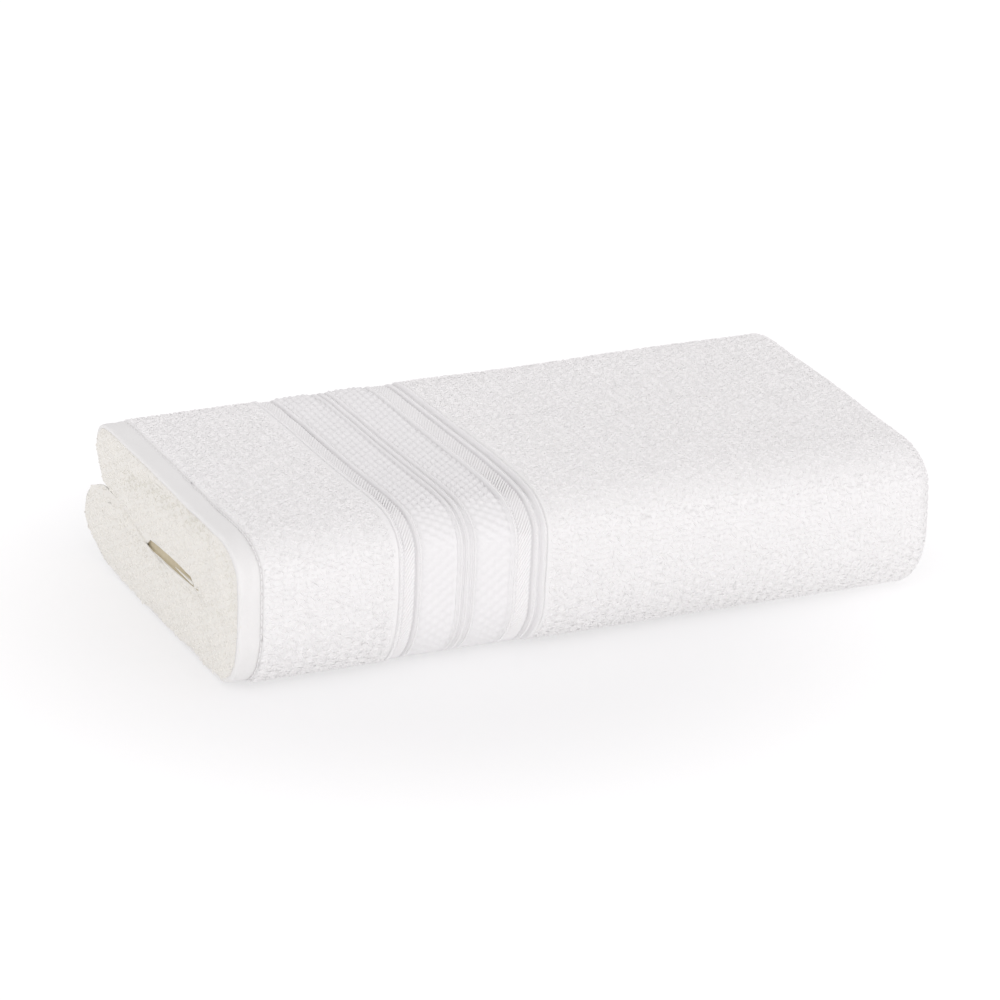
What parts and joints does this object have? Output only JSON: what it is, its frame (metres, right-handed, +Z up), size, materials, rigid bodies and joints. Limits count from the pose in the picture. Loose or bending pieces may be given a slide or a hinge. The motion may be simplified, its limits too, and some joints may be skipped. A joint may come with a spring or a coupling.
{
  "type": "folded bath towel",
  "caption": "White terry bath towel folded to a flat rectangular pack, with a woven border band and a hemmed end.",
  "frame": {"origin": "centre of the pack's footprint, on the surface it rests on", "axes": "+X along the pack from the hemmed end to the folded end, +Y from the rounded front fold to the two loose folds, +Z up"},
  "size_m": [0.35, 0.2066, 0.0737],
  "materials": {
    "terry": "white cotton loop pile with flat woven border and hem"
  },
  "bodies": {
    "root": {"towel": "terry"}
  },
  "joints": []
}
